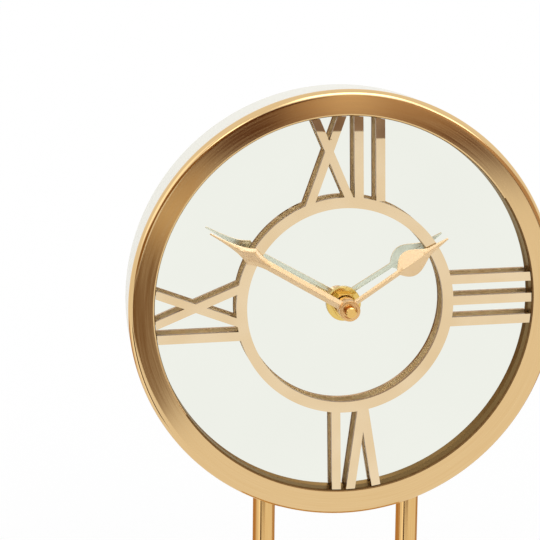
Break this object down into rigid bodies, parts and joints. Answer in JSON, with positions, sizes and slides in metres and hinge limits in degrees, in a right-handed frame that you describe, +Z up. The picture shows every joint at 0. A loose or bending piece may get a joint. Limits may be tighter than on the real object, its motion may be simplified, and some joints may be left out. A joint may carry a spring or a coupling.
{
  "type": "table clock",
  "caption": "Round table clock with a mirror dial, raised Roman numerals and spade hands in a drum case, standing on posts over a flat base.",
  "frame": {"origin": "on the table, under the middle of the base plate", "axes": "+Z up, the dial faces -Y, +X to the viewer's right, hands turn clockwise about +Y"},
  "size_m": [0.2, 0.09, 0.32],
  "materials": {
    "gold_steel": "satin brass-coloured plating under clear lacquer on steel",
    "gold_plate": "polished brass-coloured plating on cut aluminium plate",
    "gold_hands": "gold lacquer on stamped aluminium, bare at the back",
    "white_lacquer": "warm white semi-gloss lacquer on sheet steel",
    "mirror": "silvered mirror",
    "fibreboard": "raw medium-density fibreboard",
    "black_board": "matt black painted fibreboard",
    "brass": "turned brass",
    "steel": "zinc-plated steel",
    "black_plastic": "moulded black polystyrene",
    "white_plastic": "moulded acetal",
    "rubber": "matt rubber",
    "copper": "enamelled copper wire",
    "circuit": "solder-masked circuit board",
    "cell": "plain sleeved dry cell"
  },
  "bodies": {
    "frame": {"bezel_ring": "gold_steel", "case_drum": "white_lacquer", "mirror_dial": "mirror", "numeral_ring": "gold_plate", "backing_board": "fibreboard", "dial_clip_1": "steel", "dial_clip_2": "steel", "dial_clip_3": "steel", "back_panel": "black_board", "back_screw_1": "steel", "back_screw_2": "steel", "back_screw_3": "steel", "back_screw_4": "steel", "dial_washer": "brass", "dial_nut": "brass", "gasket": "rubber", "movement_case": "black_plastic", "movement_cover": "black_plastic", "battery_cell": "cell", "contact_plus": "steel", "contact_minus": "steel", "circuit_board": "circuit", "coil": "copper", "stator": "steel", "post_left": "gold_steel", "post_right": "gold_steel", "saddle_left": "steel", "saddle_right": "steel", "post_nut_left": "steel", "post_nut_right": "steel", "base_plate": "gold_steel", "base_screw_left": "steel", "base_screw_right": "steel", "foot_pad_1": "rubber", "foot_pad_2": "rubber", "foot_pad_3": "rubber", "foot_pad_4": "rubber"},
    "minute": {"minute_hand": "gold_hands", "cap_nut": "brass", "minute_arbor": "brass"},
    "hour": {"hour_hand": "gold_hands", "hour_wheel": "brass"},
    "setter": {"minute_wheel": "white_plastic", "setting_knob": "black_plastic"},
    "rotor": {"rotor": "steel"},
    "fifth": {"fifth_wheel": "white_plastic"},
    "seconds": {"seconds_wheel": "white_plastic"},
    "third": {"third_wheel": "white_plastic"},
    "centre": {"centre_wheel": "white_plastic"}
  },
  "joints": [
    {"name": "minute_turn", "type": "hinge", "parent": "frame", "child": "minute", "pos_m": [0, 0, 0.22], "axis": [0, 1, 0], "continuous": true},
    {"name": "hour_turn", "type": "hinge", "parent": "frame", "child": "hour", "pos_m": [0, 0, 0.22], "axis": [0, 1, 0], "continuous": true},
    {"name": "setter_turn", "type": "hinge", "parent": "frame", "child": "setter", "pos_m": [0.0112, 0, 0.22], "axis": [0, 1, 0], "continuous": true},
    {"name": "rotor_turn", "type": "hinge", "parent": "frame", "child": "rotor", "pos_m": [0.01092, 0, 0.23324], "axis": [0, 1, 0], "continuous": true},
    {"name": "fifth_turn", "type": "hinge", "parent": "frame", "child": "fifth", "pos_m": [0.00289, 0, 0.23078], "axis": [0, 1, 0], "continuous": true},
    {"name": "seconds_turn", "type": "hinge", "parent": "frame", "child": "seconds", "pos_m": [0, 0, 0.22], "axis": [0, 1, 0], "continuous": true},
    {"name": "third_turn", "type": "hinge", "parent": "frame", "child": "third", "pos_m": [-0.00935, 0, 0.2254], "axis": [0, 1, 0], "continuous": true},
    {"name": "centre_turn", "type": "hinge", "parent": "frame", "child": "centre", "pos_m": [0, 0, 0.22], "axis": [0, 1, 0], "continuous": true}
  ],
  "couplings": [
    {"joint": "hour_turn", "follows": "minute_turn", "ratio": 0.083333},
    {"joint": "setter_turn", "follows": "minute_turn", "ratio": -0.33333},
    {"joint": "fifth_turn", "follows": "rotor_turn", "ratio": -0.16667},
    {"joint": "seconds_turn", "follows": "rotor_turn", "ratio": 0.033333},
    {"joint": "third_turn", "follows": "rotor_turn", "ratio": -0.0044444},
    {"joint": "centre_turn", "follows": "rotor_turn", "ratio": 0.00055556}
  ]
}
